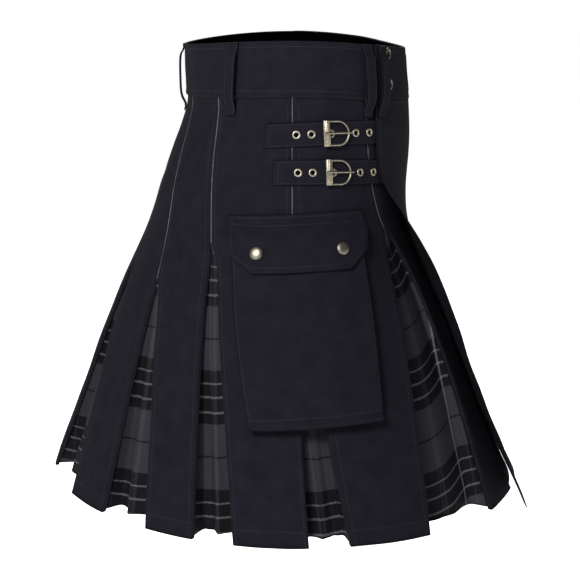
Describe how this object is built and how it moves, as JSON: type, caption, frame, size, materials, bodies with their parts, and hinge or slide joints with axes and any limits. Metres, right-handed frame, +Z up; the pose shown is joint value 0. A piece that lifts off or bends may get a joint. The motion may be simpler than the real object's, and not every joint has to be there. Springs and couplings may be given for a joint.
{
  "type": "utility kilt",
  "caption": "Worn utility kilt of black cotton panels with grey tartan pleat inserts, buckled hip straps and cargo pockets.",
  "frame": {"origin": "middle of the waist, level with the top of the waistband at the hips", "axes": "+Z up, the front faces -Y, the wearer's right is -X"},
  "size_m": [0.6364, 0.6107, 0.569],
  "materials": {
    "black_cotton_twill": "matt",
    "grey_tartan_twill": "matt",
    "antique_brass": "antique, satin"
  },
  "bodies": {
    "root": {"belt_loop_back": "black_cotton_twill", "belt_loop_left_back": "black_cotton_twill", "belt_loop_left_front": "black_cotton_twill", "belt_loop_overlap": "black_cotton_twill", "belt_loop_right_back": "black_cotton_twill", "belt_loop_right_front": "black_cotton_twill", "buckle_frame_lower": "antique_brass", "buckle_frame_upper": "antique_brass", "buckle_prong_lower": "antique_brass", "buckle_prong_upper": "antique_brass", "eyelet_lower_1": "antique_brass", "eyelet_lower_2": "antique_brass", "eyelet_lower_3": "antique_brass", "eyelet_lower_4": "antique_brass", "eyelet_lower_5": "antique_brass", "eyelet_upper_1": "antique_brass", "eyelet_upper_2": "antique_brass", "eyelet_upper_3": "antique_brass", "eyelet_upper_4": "antique_brass", "eyelet_upper_5": "antique_brass", "front_apron": "black_cotton_twill", "insert_1_left": "grey_tartan_twill", "insert_1_right": "grey_tartan_twill", "insert_2_left": "grey_tartan_twill", "insert_2_right": "grey_tartan_twill", "insert_3_left": "grey_tartan_twill", "insert_3_right": "grey_tartan_twill", "insert_4_left": "grey_tartan_twill", "insert_4_right": "grey_tartan_twill", "insert_5_left": "grey_tartan_twill", "insert_5_right": "grey_tartan_twill", "panel_1_left": "black_cotton_twill", "panel_1_right": "black_cotton_twill", "panel_2_left": "black_cotton_twill", "panel_2_right": "black_cotton_twill", "panel_3_left": "black_cotton_twill", "panel_3_right": "black_cotton_twill", "panel_4_left": "black_cotton_twill", "panel_4_right": "black_cotton_twill", "panel_5_left": "black_cotton_twill", "panel_5_right": "black_cotton_twill", "panel_back": "black_cotton_twill", "pocket_body_left": "black_cotton_twill", "pocket_body_right": "black_cotton_twill", "pocket_flap_left": "black_cotton_twill", "pocket_flap_right": "black_cotton_twill", "pocket_snap_left_1": "antique_brass", "pocket_snap_left_2": "antique_brass", "pocket_snap_right_1": "antique_brass", "pocket_snap_right_2": "antique_brass", "strap_lower": "black_cotton_twill", "strap_upper": "black_cotton_twill", "under_apron": "black_cotton_twill", "waist_snap_1": "antique_brass", "waist_snap_2": "antique_brass", "waistband_body": "black_cotton_twill", "waistband_overlap": "black_cotton_twill"}
  },
  "joints": []
}
